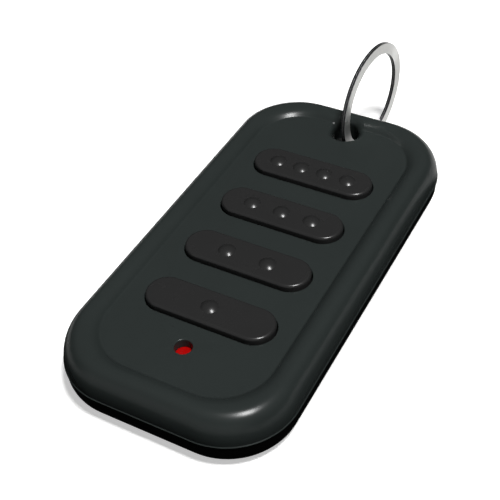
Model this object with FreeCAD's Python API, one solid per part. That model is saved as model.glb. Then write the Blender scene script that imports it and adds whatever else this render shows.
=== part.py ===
import FreeCAD, Part
import math
import os

# Four-button remote transmitter: a slim key fob with a steel key ring.
# Millimetres. +Z is up through the buttons, +Y runs from the lamp to the key ring.
# The origin is the middle of the flat base that the fob rests on.

V = FreeCAD.Vector

# Case outline and heights above the base
case_length = 69.7
case_width = 34.9
case_corner = 10.2
parting_height = 4.65
panel_height = 7.8
rim_height = 8.85

# Raised rim: a rounded bead between the outer wall and the recessed panel
rim_crest_inset = 2.55
panel_inset = 4.55
panel_corner = 7.9

# Shell walls
wall = 1.8
floor = 1.2
panel_thickness = 1.4
base_edge = 3.0
shell_step = 0.15
parting_edge = 0.14
lip_height = 0.8
lip_width = 0.8
lip_clearance = 0.1

# Buttons, in a row along Y, the first one nearest the lamp
button_count = 4
button_pitch = 10.95
button_row_shift = -0.25
button_length = 20.0
button_width = 6.1
button_rise = 0.9
button_edge = 0.45
button_clearance = 0.15
button_skin = 1.0
flange_width = 0.8
flange_thickness = 0.45
flange_clearance = 0.1
travel = 0.35

# Raised dots that number the buttons
pip_radius = 1.3
pip_rise = 0.46

# Circuit board and its seat
board_underside = 3.1
board_thickness = 1.0
board_clearance = 0.35
support_radius = 1.2
clamp_radius = 0.9
support_x = 13.4
support_y = 12.0

# Push switches
switch_size = 4.6
switch_height = 1.15
switch_skin = 0.2
plunger_radius = 0.95
plunger_collar = 0.3
collar_thickness = 0.2
plunger_clearance = 0.08
plunger_play = 0.1
nub_radius = 1.6
nub_depth = 0.15
terminal_length = 0.7
terminal_width = 0.6
terminal_thickness = 0.12

# Lamp
lamp_inset = 10.95
lamp_hole_radius = 1.25
lamp_hole_edge = 0.2
lamp_radius = 1.5
lamp_flange_radius = 1.85
lamp_flange_height = 0.5
lamp_dome = 0.35
lamp_clearance = 0.08
lead_thickness = 0.5
lead_spacing = 1.6

# Coin cell with its strap and contact
cell_radius = 10.0
cell_thickness = 1.6
cell_edge = 0.25
cell_y = 0.0
strap_width = 5.0
strap_thickness = 0.2
strap_clearance = 0.25
strap_tab = 1.4
contact_radius = 3.2

# Board parts
chip_length = 5.0
chip_width = 4.4
chip_height = 1.0
chip_x = 7.4
chip_y = 0.2
chip_pins = 7
pin_pitch = 0.65
pin_width = 0.25
pin_reach = 0.9
pin_thickness = 0.15
can_length = 5.0
can_width = 3.6
can_height = 1.2
can_x = 4.6
can_y = -24.0
crystal_length = 3.2
crystal_width = 2.5
crystal_height = 0.8
crystal_x = -7.4
crystal_y = 0.2
transistor_length = 2.9
transistor_width = 1.5
transistor_height = 1.0
transistor_x = -5.2
transistor_y = -24.0
chip_part_length = 1.6
chip_part_width = 0.8
resistor_height = 0.45
capacitor_height = 0.8
part_row_x = 7.4
part_row_step = 2.2
aerial_width = 1.0
aerial_thickness = 0.1
aerial_half_span = 7.9
aerial_front_gap = 1.6
aerial_leg = 10.0

# Screws that hold the two shells together, driven from below
screw_x = 12.2
screw_inset = 9.85
screw_radius = 0.9
screw_clearance = 0.25
screw_thread_clearance = 0.02
screw_head_radius = 1.8
screw_head_height = 1.0
screw_head_recess = 0.4
screw_head_clearance = 0.2
screw_bite = 1.4
screw_cross_width = 0.5
screw_cross_depth = 0.55
screw_boss_radius = 2.2
screw_post_wall = 0.9
post_clearance = 0.3

# Key hole and the slot under it that lets the ring pass
key_hole_radius = 2.2
key_hole_inset = 5.75
key_hole_lip = 1.2
key_boss_wall = 1.7
slot_half_width = 2.6

# Key ring: two flat turns of strip, lying side by side
ring_outer_radius = 9.65
ring_band = 1.8
ring_thickness = 0.7
ring_edge = 0.12
ring_seam_width = 0.07
ring_seam_depth = 0.14
ring_end_gap = 0.3
ring_end_angle = 276.0
ring_end_spread = 24.0
ring_yaw = -6.0
ring_centre_x = 1.4
ring_reach = 7.5
ring_floor_gap = 0.3

# Places worked out from the sizes above
front = -case_length / 2
back = case_length / 2
panel_underside = panel_height - panel_thickness
board_top = board_underside + board_thickness
switch_top = board_top + switch_height
flange_top = panel_underside - flange_clearance
flange_underside = flange_top - flange_thickness
button_top = panel_height + button_rise
collar_top = switch_top - switch_skin - plunger_play
collar_underside = collar_top - collar_thickness
plunger_top = flange_underside - nub_depth
lamp_y = front + lamp_inset
lamp_top = panel_underside - lamp_clearance
key_hole_y = back - key_hole_inset
key_boss_radius = key_hole_radius + key_boss_wall
slot_boss_half = slot_half_width + key_boss_wall
screw_post_radius = screw_head_radius + screw_head_clearance + screw_post_wall
cell_underside = floor + strap_thickness
contact_thickness = board_underside - cell_underside - cell_thickness
first_button_y = button_row_shift - button_pitch * (button_count - 1) / 2
ring_centre = V(ring_centre_x, key_hole_y + ring_reach, ring_outer_radius + ring_floor_gap)
screw_places = [(sx * screw_x, sy * (case_length / 2 - screw_inset)) for sx in (-1, 1) for sy in (-1, 1)]


def outline(inset, corner, height):
    """A rounded rectangle, inset from the widest line of the case, at one height."""
    half = case_width / 2 - inset
    near = front + inset
    far = back - inset
    r = corner
    edges = []
    corners = [(half - r, near + r, -90), (half - r, far - r, 0), (r - half, far - r, 90), (r - half, near + r, 180)]
    arcs = []
    for cx, cy, start in corners:
        points = []
        for turn in (0, 45, 90):
            a = math.radians(start + turn)
            points.append(V(cx + r * math.cos(a), cy + r * math.sin(a), height))
        arcs.append(points)
    for i in range(4):
        points = arcs[i]
        following = arcs[(i + 1) % 4]
        edges.append(Part.Arc(points[0], points[1], points[2]).toShape())
        edges.append(Part.LineSegment(points[2], following[0]).toShape())
    return Part.Wire(edges)


def slab(wire, height):
    """A solid raised from a closed flat wire."""
    return Part.Face(wire).extrude(V(0, 0, height))


def cylinder(radius, x, y, low, high):
    """An upright cylinder between two heights."""
    return Part.makeCylinder(radius, high - low, V(x, y, low), V(0, 0, 1))


def block(x, y, low, length, width, height):
    """A box centred on x and y that stands on one height."""
    return Part.makeBox(length, width, height, V(x - length / 2, y - width / 2, low))


def stadium(length, width, x, y, low, high):
    """An upright solid with straight sides and half-round ends along X."""
    r = width / 2
    half = length / 2 - r
    points = [V(x - half, y - r, low), V(x + half, y - r, low), V(x + half + r, y, low),
              V(x + half, y + r, low), V(x - half, y + r, low), V(x - half - r, y, low)]
    edges = [Part.LineSegment(points[0], points[1]).toShape(),
             Part.Arc(points[1], points[2], points[3]).toShape(),
             Part.LineSegment(points[3], points[4]).toShape(),
             Part.Arc(points[4], points[5], points[0]).toShape()]
    return slab(Part.Wire(edges), high - low)


def edges_at(solid, height, tolerance=1e-4):
    """The edges of a solid that lie wholly at one height."""
    found = []
    for edge in solid.Edges:
        box = edge.BoundBox
        if abs(box.ZMin - height) < tolerance and abs(box.ZMax - height) < tolerance:
            found.append(edge)
    return found


def edges_in_reach(edges, x, y, reach):
    """Those edges whose farthest corner is within reach of a point seen from above."""
    found = []
    for edge in edges:
        box = edge.BoundBox
        far_x = max(abs(box.XMin - x), abs(box.XMax - x))
        far_y = max(abs(box.YMin - y), abs(box.YMax - y))
        if max(far_x, far_y) < reach:
            found.append(edge)
    return found


def key_way(half_width, low, high):
    """A round-ended bar of space from the key hole out past the far end."""
    reach = back + wall - key_hole_y
    bar = Part.makeBox(2 * half_width, reach, high - low, V(-half_width, key_hole_y, low))
    return bar.fuse(cylinder(half_width, 0, key_hole_y, low, high)).removeSplitter()


def upper_case():
    """The top shell: rounded rim, recessed panel, button windows and key hole."""
    sections = []
    skirt_top = parting_height + parting_edge
    skirt = Part.makeLoft([outline(parting_edge, case_corner - parting_edge, parting_height),
                           outline(0, case_corner, skirt_top)], True, True)
    rise = rim_height - skirt_top
    corner_drop = (case_corner - panel_corner) / panel_inset
    for step in range(7):
        a = math.radians(15 * step)
        inset = rim_crest_inset * (1 - math.cos(a))
        height = skirt_top + rise * math.sin(a)
        sections.append(outline(inset, case_corner - corner_drop * inset, height))
    run = panel_inset - rim_crest_inset
    drop = rim_height - panel_height
    sweep = 2 * math.atan(drop / run)
    bend = run / math.sin(sweep)
    for step in range(1, 5):
        a = sweep * step / 4
        inset = rim_crest_inset + bend * math.sin(a)
        height = rim_height - bend * (1 - math.cos(a))
        sections.append(outline(inset, case_corner - corner_drop * inset, height))
    body = Part.makeLoft(sections, True, False).fuse(skirt)
    cavity = slab(outline(wall, case_corner - wall, parting_height), panel_underside - parting_height)
    keeper = key_way(key_boss_radius, parting_height, panel_underside)
    body = body.cut(cavity.cut(keeper))
    body = body.cut(cylinder(key_hole_radius, 0, key_hole_y, 0, rim_height + key_hole_lip))
    body = body.makeFillet(key_hole_lip, edges_in_reach(edges_at(body, panel_height), 0, key_hole_y,
                                                        key_hole_radius + key_hole_lip))
    body = body.cut(cylinder(lamp_hole_radius, 0, lamp_y, panel_underside - 1, rim_height))
    body = body.makeFillet(lamp_hole_edge, edges_in_reach(edges_at(body, panel_height), 0, lamp_y,
                                                          lamp_hole_radius + lamp_hole_edge))
    for number in range(button_count):
        y = first_button_y + number * button_pitch
        body = body.cut(stadium(button_length + 2 * button_clearance, button_width + 2 * button_clearance,
                                0, y, panel_underside - 1, rim_height))
    for x, y in screw_places:
        body = body.fuse(cylinder(screw_boss_radius, x, y, parting_height, panel_underside))
        body = body.cut(cylinder(screw_radius + screw_thread_clearance, x, y, 0, parting_height + screw_bite + 0.1))
    for sx in (-1, 1):
        for sy in (-1, 1):
            body = body.fuse(cylinder(clamp_radius, sx * support_x, sy * support_y, board_top, panel_underside))
    return body


def lower_case():
    """The bottom shell: flat base, locating lip, screw posts and the slot for the ring."""
    outer = slab(outline(shell_step, case_corner - shell_step, 0), parting_height)
    outer = outer.makeFillet(base_edge, edges_at(outer, 0))
    cavity = slab(outline(wall, case_corner - wall, floor), parting_height - floor)
    body = outer.cut(cavity.cut(key_way(slot_boss_half, 0, parting_height)))
    lip_inset = wall + lip_clearance
    lip = slab(outline(lip_inset, case_corner - lip_inset, parting_height - lip_height), 2 * lip_height)
    lip_hollow = slab(outline(lip_inset + lip_width, case_corner - lip_inset - lip_width, 0), rim_height)
    lip = lip.cut(lip_hollow)
    lip = lip.cut(key_way(key_boss_radius + lip_clearance, parting_height, rim_height))
    body = body.fuse(lip)
    for x, y in screw_places:
        body = body.fuse(cylinder(screw_post_radius, x, y, floor / 2, parting_height))
    for sx in (-1, 1):
        for sy in (-1, 1):
            body = body.fuse(cylinder(support_radius, sx * support_x, sy * support_y, floor / 2, board_underside))
    head_room = screw_head_recess + screw_head_height
    for x, y in screw_places:
        body = body.cut(cylinder(screw_boss_radius + lip_clearance, x, y, parting_height, rim_height))
        body = body.cut(cylinder(screw_radius + screw_clearance, x, y, 0, parting_height))
        body = body.cut(cylinder(screw_head_radius + screw_head_clearance, x, y, 0, head_room))
    body = body.cut(key_way(slot_half_width, -1, rim_height))
    return body


def button(number):
    """One button: a hollow cap with a flange, a nub for its switch and raised dots."""
    y = first_button_y + number * button_pitch
    cap = stadium(button_length, button_width, 0, y, flange_top, button_top)
    cap = cap.makeFillet(button_edge, edges_at(cap, button_top))
    flange = stadium(button_length + 2 * flange_width, button_width + 2 * flange_width, 0, y,
                     flange_underside, flange_top)
    body = cap.fuse(flange)
    hollow = stadium(button_length - 2 * button_skin, button_width - 2 * button_skin, 0, y,
                     flange_underside, button_top - button_skin)
    body = body.cut(hollow)
    body = body.fuse(cylinder(nub_radius, 0, y, plunger_top, button_top - button_skin / 2))
    ball = (pip_radius ** 2 + pip_rise ** 2) / (2 * pip_rise)
    pip_count = number + 1
    spacing = button_length / (pip_count + 1)
    for pip in range(pip_count):
        x = spacing * (pip + 1) - button_length / 2
        dome = Part.makeSphere(ball, V(x, y, button_top + pip_rise - ball))
        dome = dome.common(block(x, y, button_top - button_skin / 2, 4 * pip_radius, 4 * pip_radius, button_skin * 2))
        body = body.fuse(dome)
    return body


def switch_body(number):
    """The housing of one push switch, with the well that its plunger runs in."""
    y = first_button_y + number * button_pitch
    body = block(0, y, board_top, switch_size, switch_size, switch_height)
    upright = [e for e in body.Edges if e.BoundBox.ZLength > switch_height / 2]
    body = body.makeChamfer(switch_skin * 2, upright)
    well_radius = plunger_radius + plunger_collar + plunger_clearance
    well_floor = collar_underside - travel - plunger_play
    body = body.cut(cylinder(well_radius, 0, y, well_floor, switch_top - switch_skin))
    return body.cut(cylinder(plunger_radius + plunger_clearance, 0, y, well_floor, switch_top + 1))


def switch_plunger(number):
    """The pin that a button pushes into its switch, kept in by a collar."""
    y = first_button_y + number * button_pitch
    pin = cylinder(plunger_radius, 0, y, collar_underside, plunger_top)
    return pin.fuse(cylinder(plunger_radius + plunger_collar, 0, y, collar_underside, collar_top))


def switch_terminals():
    """Four flat solder legs for every switch."""
    legs = []
    for number in range(button_count):
        y = first_button_y + number * button_pitch
        for sx in (-1, 1):
            for sy in (-1, 1):
                x = sx * (switch_size + terminal_length) / 2
                legs.append(block(x, y + sy * switch_size / 4, board_top, terminal_length, terminal_width,
                                  terminal_thickness))
    return Part.makeCompound(legs)


def circuit_board():
    """The board, notched round the screw posts and cut short before the key hole."""
    inset = wall + lip_clearance + lip_width + board_clearance
    end = key_hole_y - slot_boss_half - board_clearance
    board = slab(outline(inset, case_corner - inset, board_underside), board_thickness)
    board = board.common(Part.makeBox(case_width, end - front, board_thickness,
                                      V(-case_width / 2, front, board_underside)))
    for x, y in screw_places:
        board = board.cut(cylinder(screw_post_radius + post_clearance, x, y, 0, rim_height))
    lead = lead_thickness + 2 * lead_thickness / 5
    for sx in (-1, 1):
        board = board.cut(block(sx * lead_spacing / 2, lamp_y, 0, lead, lead, rim_height))
    return board


def status_lamp():
    """The lamp: a small round lens with a collar, right under its hole."""
    low = board_top
    lens = cylinder(lamp_radius, 0, lamp_y, low, lamp_top)
    lens = lens.makeFillet(lamp_dome, edges_at(lens, lamp_top))
    return lens.fuse(cylinder(lamp_flange_radius, 0, lamp_y, low, low + lamp_flange_height))


def lamp_leads():
    """The two legs of the lamp, through the board."""
    low = board_underside - lead_thickness
    legs = [block(sx * lead_spacing / 2, lamp_y, low, lead_thickness, lead_thickness, board_top - low) for sx in (-1, 1)]
    return Part.makeCompound(legs)


def coin_cell():
    """The flat round battery."""
    cell = cylinder(cell_radius, 0, cell_y, cell_underside, cell_underside + cell_thickness)
    return cell.makeFillet(cell_edge, edges_at(cell, cell_underside))


def battery_strap():
    """The sheet strap that passes under the cell and is soldered to the board at both sides."""
    half = cell_radius + strap_clearance
    base = block(0, cell_y, floor, 2 * (half + strap_thickness), strap_width, strap_thickness)
    strap = base
    for side in (-1, 1):
        leg_x = side * (half + strap_thickness / 2)
        strap = strap.fuse(block(leg_x, cell_y, floor, strap_thickness, strap_width, board_underside - floor))
        tab_x = side * (half + strap_tab / 2)
        strap = strap.fuse(block(tab_x, cell_y, board_underside - strap_thickness, strap_tab, strap_width,
                                 strap_thickness))
    return strap.removeSplitter()


def battery_contact():
    """The plated pad under the board that the top of the cell presses on."""
    low = board_underside - contact_thickness
    return cylinder(contact_radius, 0, cell_y, low, board_underside)


def encoder_chip():
    """The control chip's moulded body."""
    chip = block(chip_x, chip_y, board_top + pin_thickness, chip_width, chip_length, chip_height)
    top = edges_at(chip, board_top + pin_thickness + chip_height)
    return chip.makeChamfer(pin_thickness, top)


def chip_pin_rows():
    """The chip's pins, a row along each long side."""
    pins = []
    for side in (-1, 1):
        for n in range(chip_pins):
            y = chip_y + (n - (chip_pins - 1) / 2) * pin_pitch
            x = chip_x + side * (chip_width + pin_reach) / 2
            foot = block(x, y, board_top, pin_reach, pin_width, pin_thickness)
            knee = block(chip_x + side * (chip_width + pin_thickness) / 2, y, board_top, pin_thickness, pin_width,
                         pin_thickness + chip_height / 2)
            pins.append(foot.fuse(knee).removeSplitter())
    return Part.makeCompound(pins)


def radio_can():
    """The metal can of the radio resonator."""
    can = block(can_x, can_y, board_top, can_length, can_width, can_height)
    upright = [e for e in can.Edges if e.BoundBox.ZLength > can_height / 2]
    can = can.makeFillet(can_width / 8, upright)
    return can.makeFillet(can_height / 8, edges_at(can, board_top + can_height))


def timing_crystal():
    """The timing crystal."""
    return block(crystal_x, crystal_y, board_top, crystal_length, crystal_width, crystal_height)


def output_transistor():
    """The transistor that drives the aerial, with three feet."""
    body = block(transistor_x, transistor_y, board_top, transistor_length, transistor_width, transistor_height)
    feet = [(0, 1), (-transistor_length / 3, -1), (transistor_length / 3, -1)]
    for x, side in feet:
        y = transistor_y + side * (transistor_width + terminal_width) / 2
        body = body.fuse(block(transistor_x + x, y, board_top, terminal_width, terminal_width, pin_thickness))
    return body


def part_row(side, height, numbers):
    """A group of small two-ended board parts beside the switches."""
    pieces = []
    for n in numbers:
        y = first_button_y + n * button_pitch
        for shift in (-part_row_step, 0, part_row_step):
            pieces.append(block(side * part_row_x, y + shift, board_top, chip_part_length, chip_part_width, height))
    return Part.makeCompound(pieces)


def aerial():
    """The copper strip along the board's front, bent into a U."""
    y_front = front + wall + lip_clearance + lip_width + board_clearance + aerial_front_gap
    outer = Part.makeBox(2 * aerial_half_span + aerial_width, aerial_leg, aerial_thickness,
                         V(-aerial_half_span - aerial_width / 2, y_front, board_top))
    inner = Part.makeBox(2 * aerial_half_span - aerial_width, aerial_leg, aerial_thickness,
                         V(-aerial_half_span + aerial_width / 2, y_front + aerial_width, board_top))
    return outer.cut(inner)


def case_screws():
    """Four self-tapping screws, heads down in the base."""
    screws = []
    for x, y in screw_places:
        head_low = screw_head_recess
        head_high = head_low + screw_head_height
        head = cylinder(screw_head_radius, x, y, head_low, head_high)
        head = head.makeFillet(screw_head_height / 4, edges_at(head, head_low))
        screw = head.fuse(cylinder(screw_radius, x, y, head_low, parting_height + screw_bite))
        arm = screw_head_radius * 1.2
        for length, width in ((arm, screw_cross_width), (screw_cross_width, arm)):
            screw = screw.cut(block(x, y, head_low, length, width, screw_cross_depth))
        screws.append(screw)
    return Part.makeCompound(screws)


def key_ring():
    """The split key ring: a flat band with a fine seam between its turns and the strip's two ends."""
    half = ring_thickness / 2
    low = ring_outer_radius - ring_band
    high = ring_outer_radius
    flat = half - ring_edge
    seam = ring_seam_width / 2
    points = [(-flat, low), (-seam, low), (0, low + ring_seam_depth), (seam, low), (flat, low),
              (half, low + ring_edge), (half, high - ring_edge), (flat, high), (seam, high), (0, high - ring_seam_depth),
              (-seam, high), (-flat, high), (-half, high - ring_edge), (-half, low + ring_edge)]
    profile = Part.makePolygon([V(x, y, 0) for x, y in points + points[:1]])
    band = Part.Face(profile).revolve(V(0, 0, 0), V(1, 0, 0), 360)
    for start, turn in ((0, ring_end_angle), (-ring_thickness, ring_end_angle + ring_end_spread)):
        gap = Part.makeBox(ring_thickness, 2 * ring_band, ring_end_gap,
                           V(start, low - ring_band / 2, -ring_end_gap / 2))
        gap.rotate(V(0, 0, 0), V(1, 0, 0), turn)
        band = band.cut(gap)
    band.rotate(V(0, 0, 0), V(0, 0, 1), ring_yaw)
    band.translate(ring_centre)
    return band


def save(name, shape):
    """Write one named piece and print what it is."""
    shape.exportStep("parts/" + name + ".step")
    box = shape.BoundBox
    print(name, len(shape.Solids), "solid", shape.isValid(), round(shape.Volume, 2),
          [round(v, 2) for v in (box.XMin, box.XMax, box.YMin, box.YMax, box.ZMin, box.ZMax)])


def build():
    os.makedirs("parts", exist_ok=True)
    save("upper_case", upper_case())
    save("lower_case", lower_case())
    for number in range(button_count):
        label = str(number + 1)
        save("button_" + label, button(number))
        save("switch_body_" + label, switch_body(number))
        save("switch_plunger_" + label, switch_plunger(number))
    save("switch_terminals", switch_terminals())
    save("circuit_board", circuit_board())
    save("status_lamp", status_lamp())
    save("lamp_leads", lamp_leads())
    save("coin_cell", coin_cell())
    save("battery_strap", battery_strap())
    save("battery_contact", battery_contact())
    save("encoder_chip", encoder_chip())
    save("chip_pins", chip_pin_rows())
    save("radio_can", radio_can())
    save("timing_crystal", timing_crystal())
    save("output_transistor", output_transistor())
    save("resistors", part_row(-1, resistor_height, (0, 3)))
    save("capacitors", part_row(1, capacitor_height, (0, 3)))
    save("aerial", aerial())
    save("case_screws", case_screws())
    save("key_ring", key_ring())


build()
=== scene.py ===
"""Four-button remote transmitter with a key ring: its visible pieces, finishes, light and camera."""

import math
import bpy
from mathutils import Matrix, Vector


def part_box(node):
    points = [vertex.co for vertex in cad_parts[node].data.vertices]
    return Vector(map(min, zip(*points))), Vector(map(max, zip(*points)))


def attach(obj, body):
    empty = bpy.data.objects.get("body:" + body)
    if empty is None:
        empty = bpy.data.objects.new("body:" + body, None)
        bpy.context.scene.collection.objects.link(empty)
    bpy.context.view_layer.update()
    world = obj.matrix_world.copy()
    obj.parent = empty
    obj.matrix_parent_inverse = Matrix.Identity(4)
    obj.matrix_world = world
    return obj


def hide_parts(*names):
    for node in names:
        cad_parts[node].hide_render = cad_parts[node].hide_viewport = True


bl_info = {
    "name": "Remote transmitter",
    "version": (1, 0, 0),
    "blender": (4, 5, 0),
    "location": "View3D > Sidebar > Transmitter",
    "description": "Builds a remote transmitter's case, buttons, lamp and key ring round its packed frame",
    "category": "Add Mesh",
}

import bmesh
import bpy
from bpy.props import FloatProperty, FloatVectorProperty, PointerProperty
from mathutils import Matrix, Vector

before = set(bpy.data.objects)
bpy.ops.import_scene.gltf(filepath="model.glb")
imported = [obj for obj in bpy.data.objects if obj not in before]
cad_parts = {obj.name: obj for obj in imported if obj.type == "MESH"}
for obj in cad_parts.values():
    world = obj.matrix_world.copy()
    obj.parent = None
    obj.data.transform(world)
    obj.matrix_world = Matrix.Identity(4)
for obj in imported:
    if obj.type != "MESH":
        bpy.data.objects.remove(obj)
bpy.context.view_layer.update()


def mm(value):
    """Millimetres as metres."""
    return value / 1000


def linear(hex_colour):
    """An sRGB hex colour as linear red, green, blue and alpha."""
    values = [int(hex_colour[i:i + 2], 16) / 255 for i in (0, 2, 4)]
    return [v / 12.92 if v <= 0.04045 else ((v + 0.055) / 1.055) ** 2.4 for v in values] + [1.0]


# Places read from the frame
shell_low, shell_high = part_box("upper_case")
button_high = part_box("button_1")[1]
lamp_low, lamp_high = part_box("status_lamp")
ring_low, ring_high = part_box("key_ring")
BUTTONS = ("button_1", "button_2", "button_3", "button_4")

# Inside the upper shell: bosses for the screws and clamps that hold the board down
SCREW_PLACES = [(sx * mm(12.2), sy * mm(25.0)) for sx in (-1, 1) for sy in (-1, 1)]
SCREW_BOSS_RADIUS = mm(2.2)
SCREW_HOLE_RADIUS = mm(0.92)
SCREW_HOLE_DEPTH = mm(1.5)
CLAMP_PLACES = [(sx * mm(13.4), sy * mm(12.0)) for sx in (-1, 1) for sy in (-1, 1)]
CLAMP_RADIUS = mm(0.9)
CLAMP_FOOT = mm(4.1)
KEY_BOSS_WALL = mm(1.7)
WINDOW_EDGE = mm(0.15)

# The form that cuts the key hole: how far it passes the shell, its lip's clearance, and the lip's last angle
CUT_BELOW = mm(2.0)
CUT_ABOVE = mm(1.0)
CUT_LIFT = mm(0.015)
LIP_END = 12

# Buttons: the flat top of a cap, its shell and the flange that keeps it in
CAP_TOP = mm(8.7)
CAP_SKIN = mm(1.0)
FLANGE_WIDTH = mm(0.8)
FLANGE_THICKNESS = mm(0.45)
FLANGE_CLEARANCE = mm(0.1)
NUB_RADIUS = mm(1.6)
NUB_DEPTH = mm(0.15)

# Lamp: its domed tip and its flange
LAMP_DOME = mm(0.35)
LAMP_FLANGE_RADIUS = mm(1.85)
LAMP_FLANGE_THICKNESS = mm(0.5)

# Key ring: its turn seen from above, and where the strip crosses from one turn to the other
RING_YAW = math.radians(-6.0)
RING_CROSS_START = math.radians(276.0)
RING_CROSS_TURN = math.radians(24.0)
RING_END_GAP = mm(0.3)
RING_HALF_SEAM = mm(0.02)
RING_FINE_EDGE = mm(0.04)

# Floor: its size, its painted shade, which is what it gives back to light, the patch where mirror rays
# find that painted shade, and where it turns white
FLOOR_REACH = 3.0
FLOOR_DROP = mm(0.02)
FLOOR_PAINTED_SHADE = linear("202020")
DARK_SIDES = (mm(28), mm(45))
DARK_ENDS = (mm(46), mm(52))
DARK_SHIFT = mm(13)
WHITE_REACH = (mm(80), mm(500))
WHITE_GLOW = 0.5

# World: how light mirror rays find the room, and how little light the room gives
ROOM_FRONT = 0.5
ROOM_BACK = 0.2
ROOM_LOW = 0.1
ROOM_FILL = 0.04

# A wave texture of scale 1 repeats after this many metres
WAVE_BAND = 0.314

# How finely the curves are cut
CORNER_STEPS = 24
BEAD_STEPS = 14
SLOPE_STEPS = 9
HOLLOW_STEPS = 5
END_STEPS = 20
EDGE_STEPS = 6
DOT_STEPS = 48
DOME_STEPS = 9
HOLE_STEPS = 64
WINDOW_STEPS = 4
LAMP_HOLE_STEPS = 5
BOSS_STEPS = 32
CLAMP_STEPS = 24
NUB_STEPS = 40
LIP_STEPS = 8
RING_STEPS = 360
RING_EDGE_STEPS = 3


def size(name, description, default):
    """A length that the sidebar shows."""
    return FloatProperty(name=name, description=description, default=default, min=0.0, unit="LENGTH",
                         subtype="DISTANCE", precision=5)


def colour(name, description, default):
    """A colour that the sidebar shows, given as an sRGB hex value."""
    return FloatVectorProperty(name=name, description=description, default=linear(default), size=4, min=0.0,
                               max=1.0, subtype="COLOR")


def power(name, description, default):
    """A lamp's power that the sidebar shows."""
    return FloatProperty(name=name, description=description, default=default, min=0.0, unit="POWER",
                         subtype="POWER")


def direction(name, description, default):
    """A direction that the sidebar shows."""
    return FloatVectorProperty(name=name, description=description, default=default, size=3, subtype="XYZ")


def turn(name, description, degrees):
    """An angle that the sidebar shows."""
    return FloatProperty(name=name, description=description, default=math.radians(degrees), subtype="ANGLE")


class CaseSettings(bpy.types.PropertyGroup):
    """Sizes and colours of the two shells."""

    length: size("Length", "Case from end to end", shell_high.y - shell_low.y)
    width: size("Width", "Case from side to side", shell_high.x - shell_low.x)
    corner: size("Corner radius", "Radius of the case's corners seen from above", mm(10.2))
    parting: size("Parting height", "Height at which the shells meet", mm(4.65))
    skirt: size("Skirt", "How far the upper shell's outer edge hangs below that", mm(0.25))
    panel: size("Panel height", "Height of the recessed panel", mm(7.8))
    rim: size("Rim height", "Height of the rim's crest", shell_high.z)
    crest_inset: size("Crest inset", "From the widest line to the rim's crest", mm(2.55))
    panel_inset: size("Panel inset", "From the widest line to the panel", mm(4.55))
    panel_corner: size("Panel corner radius", "Radius of the panel's corners", mm(7.9))
    crease: size("Crease radius", "Radius where the rim runs out into the panel", mm(0.5))
    wall: size("Wall", "Thickness of the side walls", mm(1.8))
    roof: size("Panel thickness", "Thickness of the panel", mm(1.4))
    step: size("Shell step", "How far the line between the shells is drawn in", mm(0.14))
    key_hole: size("Key hole radius", "Radius of the hole for the key ring", mm(2.2))
    key_lip: size("Key hole lip", "Radius of the key hole's soft edge", mm(1.2))
    key_inset: size("Key hole inset", "From the far end to the middle of the key hole", mm(5.75))
    upper_colour: colour("Upper shell", "Colour of the upper shell", "2a2f2e")
    lower_colour: colour("Lower shell", "Colour of the lower shell", "050505")


class ButtonSettings(bpy.types.PropertyGroup):
    """Sizes and colour of the buttons."""

    length: size("Length", "Button cap from end to end", mm(20.0))
    width: size("Width", "Button cap across", mm(6.1))
    rise: size("Rise", "How far a cap stands above the panel", mm(0.9))
    edge: size("Edge radius", "Radius round the top of a cap", mm(0.45))
    gap: size("Gap", "Space between a cap and its window", mm(0.15))
    dot_radius: size("Dot radius", "Radius of a raised dot", mm(1.3))
    dot_rise: size("Dot rise", "Height of a raised dot", button_high.z - CAP_TOP)
    colour: colour("Colour", "Colour of the buttons", "262626")


class LampSettings(bpy.types.PropertyGroup):
    """Sizes and colour of the lamp."""

    hole: size("Hole radius", "Radius of the lamp's hole", mm(1.25))
    hole_edge: size("Hole edge", "Radius round the top of the hole", mm(0.2))
    lens: size("Lens radius", "Radius of the lens", mm(1.5))
    colour: colour("Colour", "Colour of the lens", "980504")


class RingSettings(bpy.types.PropertyGroup):
    """Sizes and colour of the key ring."""

    radius: size("Outer radius", "Outer radius of the ring", (ring_high.z - ring_low.z) / 2)
    band: size("Band", "Width of the flat strip, from the inner to the outer edge", mm(1.8))
    thickness: size("Thickness", "Both turns together", mm(0.7))
    edge: size("Edge", "Radius along the outer edges of the two turns", mm(0.08))
    colour: colour("Colour", "Colour of the strip's bright faces", "d6d6d4")
    edge_colour: colour("Edge colour", "Colour of the reflection of a dark room, painted on the strip's edges", "444446")


class StageSettings(bpy.types.PropertyGroup):
    """Floor, light and camera."""

    floor_colour: colour("Floor", "Colour of the floor", "efefee")
    aim: FloatVectorProperty(name="Aim", description="Point that the camera looks at", size=3,
                             subtype="TRANSLATION", unit="LENGTH", default=(mm(-2.28), mm(-0.90), mm(5.0)))
    distance: size("Distance", "From the aim to the camera", mm(148.84))
    lens: FloatProperty(name="Lens", description="Focal length in millimetres on a 36 mm sensor",
                        default=71.02, min=1.0)
    azimuth: turn("Azimuth", "Camera's turn round the object", 30.394)
    elevation: turn("Elevation", "Camera's height above the horizon", 43.21)
    roll: turn("Roll", "Camera's turn about its own line of sight", -3.44)
    lamp_distance: size("Lamp distance", "From the object to both lights", 0.65)
    lamp_size: size("Lamp size", "Width of the main light", 0.13)
    lamp_power: power("Lamp power", "Power of the main light", 4.4)
    lamp_way: direction("Lamp direction", "From the object to the main light", (0.30, -0.12, 0.94))
    gleam_size: size("Gleam size", "Width of the light that only shows as a reflection", 0.15)
    gleam_power: power("Gleam power", "Power of that light", 5.0)
    gleam_way: direction("Gleam direction", "From the object to that light", (0.41, -0.22, 0.88))


# Outlines and surfaces


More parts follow.
